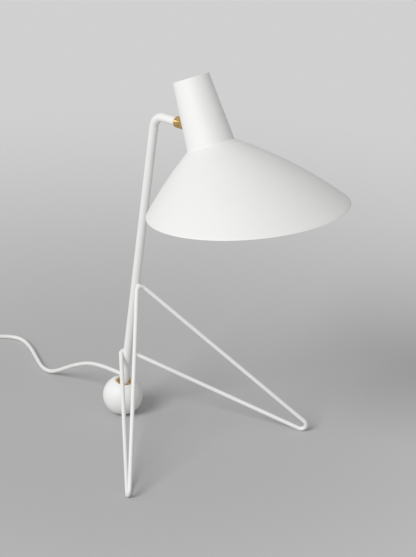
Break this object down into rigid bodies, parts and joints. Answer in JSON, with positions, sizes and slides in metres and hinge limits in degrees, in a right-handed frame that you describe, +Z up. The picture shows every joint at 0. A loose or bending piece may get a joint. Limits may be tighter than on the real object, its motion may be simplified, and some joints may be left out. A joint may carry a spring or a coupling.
{
  "type": "table lamp",
  "caption": "Tabletop lamp with a tilting, flared metal shade on a leaning stem, standing on a ball foot and wire hairpin legs, with a mains cord.",
  "frame": {"origin": "on the table, under the middle of the ball foot, on the underside of its pad", "axes": "+X forward, the way the stem leans and the legs open; +Y to the lamp's left; +Z up"},
  "size_m": [0.7062, 0.3431, 0.5001],
  "materials": {
    "white_paint": "satin",
    "shade_paint": "satin",
    "brass": "brushed",
    "steel": "brushed",
    "felt": "matte",
    "white_rubber": "matte",
    "white_cord": "matte",
    "white_plastic": "satin",
    "holder_plastic": "matte",
    "bulb_glass": "frosted",
    "nickel": "satin"
  },
  "bodies": {
    "base": {"foot_ball": "white_paint", "foot_pad": "felt", "ball_ring": "brass", "ball_grub_screw": "steel", "stem_tube": "white_paint", "cord_grommet": "white_rubber", "stem_lead": "white_cord", "left_leg": "white_paint", "right_leg": "white_paint", "weld_beads": "white_paint", "arm_spigot": "brass", "supply_cord": "white_cord", "switch_lead": "white_cord", "plug_lead": "white_cord", "cord_coil": "white_cord", "switch_base": "white_plastic", "switch_cover": "white_plastic", "switch_contacts": "brass", "switch_screws": "nickel", "switch_reliefs": "white_rubber", "plug_body": "white_rubber", "plug_relief": "white_rubber", "plug_pins": "nickel"},
    "swivel": {"swivel_base": "brass", "swivel_grub_screw": "steel"},
    "shade": {"swivel_head": "brass", "swivel_screw": "brass", "swivel_washer": "steel", "neck_saddle": "brass", "inner_saddle": "steel", "neck_nut": "brass", "shade_neck": "shade_paint", "shade_skirt": "shade_paint", "holder_bracket": "steel", "holder_nipple": "steel", "holder_nut": "steel", "holder_cap": "holder_plastic", "holder_body": "holder_plastic", "holder_thread": "nickel", "holder_contact": "brass", "bulb_glass": "bulb_glass", "bulb_cap": "nickel", "bulb_contact": "nickel", "shade_lead": "white_cord"},
    "rocker": {"switch_rocker": "white_plastic"}
  },
  "joints": [
    {"name": "head_turn", "type": "hinge", "parent": "base", "child": "swivel", "pos_m": [0.09782, 0, 0.42626], "axis": [0.9945, 0, 0.1045], "range_deg": [-90, 90]},
    {"name": "head_tilt", "type": "hinge", "parent": "swivel", "child": "shade", "pos_m": [0.11035, 0, 0.42757], "axis": [0, -1, 0], "range_deg": [-25, 60]},
    {"name": "switch_rock", "type": "hinge", "parent": "base", "child": "rocker", "pos_m": [-0.21697, -0.0871, 0.0115], "axis": [-0.6536, -0.7568, 0], "range_deg": [0, 16]}
  ]
}
